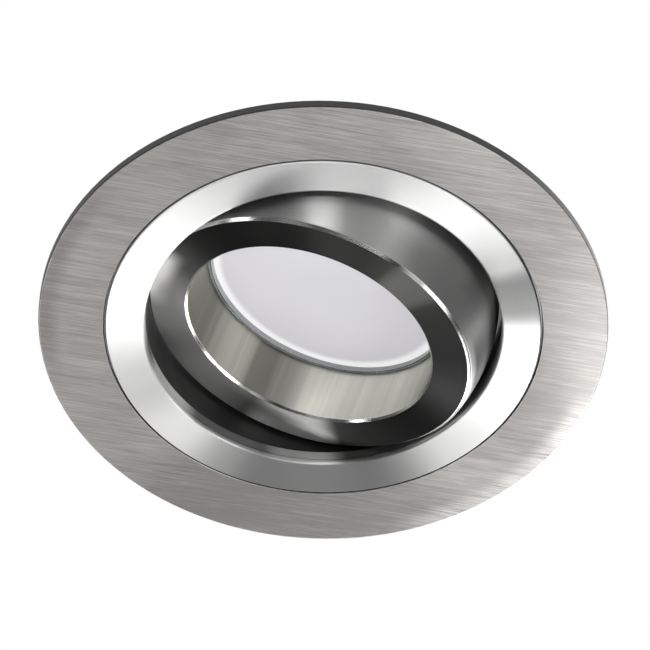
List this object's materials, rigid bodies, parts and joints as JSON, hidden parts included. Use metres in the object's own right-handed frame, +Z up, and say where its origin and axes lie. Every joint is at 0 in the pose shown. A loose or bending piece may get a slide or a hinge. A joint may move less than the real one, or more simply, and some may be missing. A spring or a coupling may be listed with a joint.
{
  "type": "recessed tilting downlight",
  "caption": "Round soffit downlight with brushed trim, turned bezel, ball-shaped tilt ring, twist-lock reflector lamp and sprung ceiling clips.",
  "frame": {"origin": "middle of the ceiling plane, where the flange and the seal meet the soffit board", "axes": "+Z up into the ceiling void, so the light faces -Z; X is the tilt axis; +Y is the side that the lamp's face leans to"},
  "size_m": [0.1, 0.1, 0.0901],
  "materials": {
    "brushed_trim": "straight-grain satin brushing",
    "black_foam": "closed-cell foam",
    "turned_bezel": "fine-turned satin",
    "cast_body": "as cast",
    "brass": "plain",
    "brass_screw": "plain",
    "zinc_steel": "bright zinc plate",
    "zinc_steel_small": "bright zinc plate",
    "spring_steel": "drawn wire",
    "stamped_steel": "bright stamped sheet",
    "grey_sleeve": "matt",
    "tilt_ring": "turned and polished",
    "black_washer": "matt",
    "lamp_glass": "pressed",
    "frosted_disc": "frosted",
    "circuit_white": "white solder mask",
    "phosphor": "phosphor",
    "spun_aluminium": "spun",
    "circuit_green": "green solder mask",
    "white_moulding": "moulded",
    "nickel_pins": "nickel plate",
    "glazed_ceramic": "ceramic, half glazed",
    "glazed_ceramic_back": "ceramic, half glazed",
    "contact_brass": "stamped"
  },
  "bodies": {
    "housing": {"trim_plate": "brushed_trim", "gasket": "black_foam", "bezel_ring": "turned_bezel", "housing_casting": "cast_body", "earth_tag": "brass", "earth_screw": "brass_screw", "clip_pin_left": "zinc_steel", "clip_pin_right": "zinc_steel", "clip_spring_left": "spring_steel", "clip_spring_right": "spring_steel"},
    "cup": {"gimbal_ring": "tilt_ring", "pivot_screw_left": "zinc_steel", "pivot_screw_right": "zinc_steel", "pivot_washer_left": "black_washer", "pivot_washer_right": "black_washer", "lamp_circlip": "spring_steel", "lamp_glass": "lamp_glass", "lamp_diffuser": "frosted_disc", "led_board": "circuit_white", "led_chips": "phosphor", "lamp_heatsink": "spun_aluminium", "lamp_driver": "circuit_green", "lamp_cap": "white_moulding", "lamp_pins": "nickel_pins"},
    "lampholder": {"lampholder_body": "glazed_ceramic", "lampholder_cap": "glazed_ceramic_back", "lampholder_contacts": "contact_brass", "lampholder_screws": "zinc_steel_small"},
    "clip_left": {"clip_arm_left": "stamped_steel", "clip_pad_left": "grey_sleeve"},
    "clip_right": {"clip_arm_right": "stamped_steel", "clip_pad_right": "grey_sleeve"}
  },
  "joints": [
    {"name": "cup_tilt", "type": "hinge", "parent": "housing", "child": "cup", "pos_m": [0, 0, 0.0076], "axis": [1, 0, 0], "range_deg": [-49.2, 10.8]},
    {"name": "lampholder_twist", "type": "hinge", "parent": "cup", "child": "lampholder", "pos_m": [0, -0.01634, 0.05454], "axis": [0, -0.3289, 0.9444], "range_deg": [0, 25]},
    {"name": "clip_fold_left", "type": "hinge", "parent": "housing", "child": "clip_left", "pos_m": [-0.02616, -0.02616, 0.007], "axis": [-0.7071, 0.7071, 0], "range_deg": [0, 90], "stiffness_Nm_per_rad": 0.15, "springref_deg": -20.05, "deforming": ["clip_spring_left"]},
    {"name": "clip_fold_right", "type": "hinge", "parent": "housing", "child": "clip_right", "pos_m": [0.02616, 0.02616, 0.007], "axis": [0.7071, -0.7071, 0], "range_deg": [0, 90], "stiffness_Nm_per_rad": 0.15, "springref_deg": -20.05, "deforming": ["clip_spring_right"]}
  ]
}
